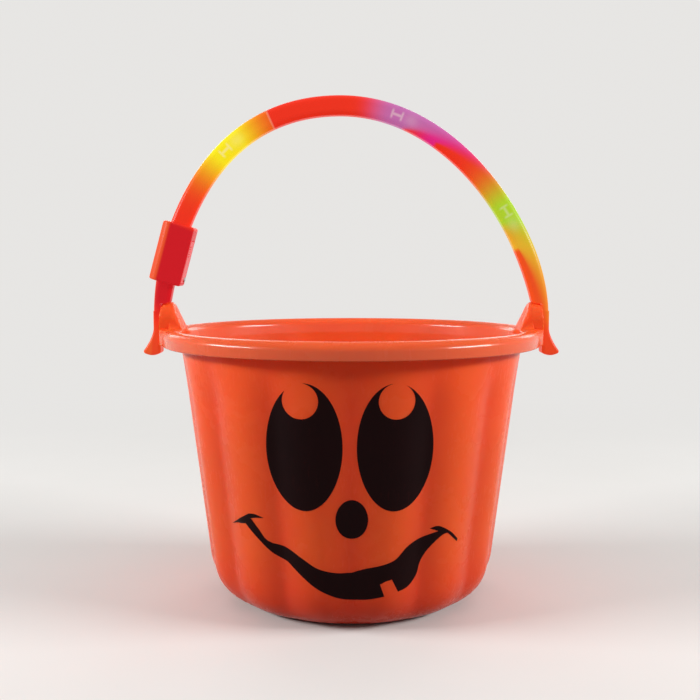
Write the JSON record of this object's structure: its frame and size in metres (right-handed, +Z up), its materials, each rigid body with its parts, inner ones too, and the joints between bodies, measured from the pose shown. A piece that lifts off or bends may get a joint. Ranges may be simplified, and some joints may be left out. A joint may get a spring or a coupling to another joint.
{
  "type": "trick-or-treat bucket",
  "caption": "Lobed plastic bucket with a rolled rim, a printed jack-o'-lantern face and a swinging light-up tube handle with a battery box.",
  "frame": {"origin": "middle of the bucket's foot, on the surface that it stands on", "axes": "+Z up through the handle's top, +X towards the ear without the battery box, -Y the way the face looks"},
  "size_m": [0.2654, 0.239, 0.3182],
  "materials": {
    "shell_plastic": "semi-gloss translucent orange",
    "face_print": "satin black print",
    "handle_plastic": "gloss translucent red-orange",
    "screw_steel": "zinc plated",
    "button_plastic": "satin",
    "switch_plastic": "matte",
    "board": "solder mask",
    "chip": "cast epoxy",
    "cell_steel": "nickel plated",
    "contact_metal": "nickel plated",
    "lamp_yellow_plastic": "clear tinted resin",
    "lamp_purple_plastic": "clear tinted resin",
    "lamp_green_plastic": "clear tinted resin",
    "wire_red": "insulation",
    "wire_black": "insulation"
  },
  "bodies": {
    "bucket": {"bucket_shell": "shell_plastic", "face_left_eye": "face_print", "face_right_eye": "face_print", "face_nose": "face_print", "face_mouth": "face_print"},
    "handle": {"handle_front_half": "handle_plastic", "handle_back_half": "handle_plastic", "handle_screw_1": "screw_steel", "handle_screw_2": "screw_steel", "handle_screw_3": "screw_steel", "handle_screw_4": "screw_steel", "tact_switch": "switch_plastic", "circuit_board": "board", "flasher_chip": "chip", "battery_cell_1": "cell_steel", "battery_cell_2": "cell_steel", "battery_cell_3": "cell_steel", "battery_spring_contact": "contact_metal", "battery_flat_contact": "contact_metal", "lamp_yellow": "lamp_yellow_plastic", "lamp_purple": "lamp_purple_plastic", "lamp_green": "lamp_green_plastic", "lamp_wire_front": "wire_red", "lamp_wire_back": "wire_black"},
    "button": {"push_button": "button_plastic"},
    "battery_cover": {"battery_door": "handle_plastic", "battery_door_screw": "screw_steel"}
  },
  "joints": [
    {"name": "handle_swing", "type": "hinge", "parent": "bucket", "child": "handle", "pos_m": [0, 0, 0.1768], "axis": [1, 0, 0], "range_deg": [-80, 80]},
    {"name": "button_press", "type": "slide", "parent": "handle", "child": "button", "axis": [0, -1, 0], "range_m": [0, 0.0008], "stiffness_N_per_m": 2500},
    {"name": "battery_door_off", "type": "slide", "parent": "handle", "child": "battery_cover", "axis": [0.965, 0, -0.2622], "range_m": [0, 0.025]}
  ]
}
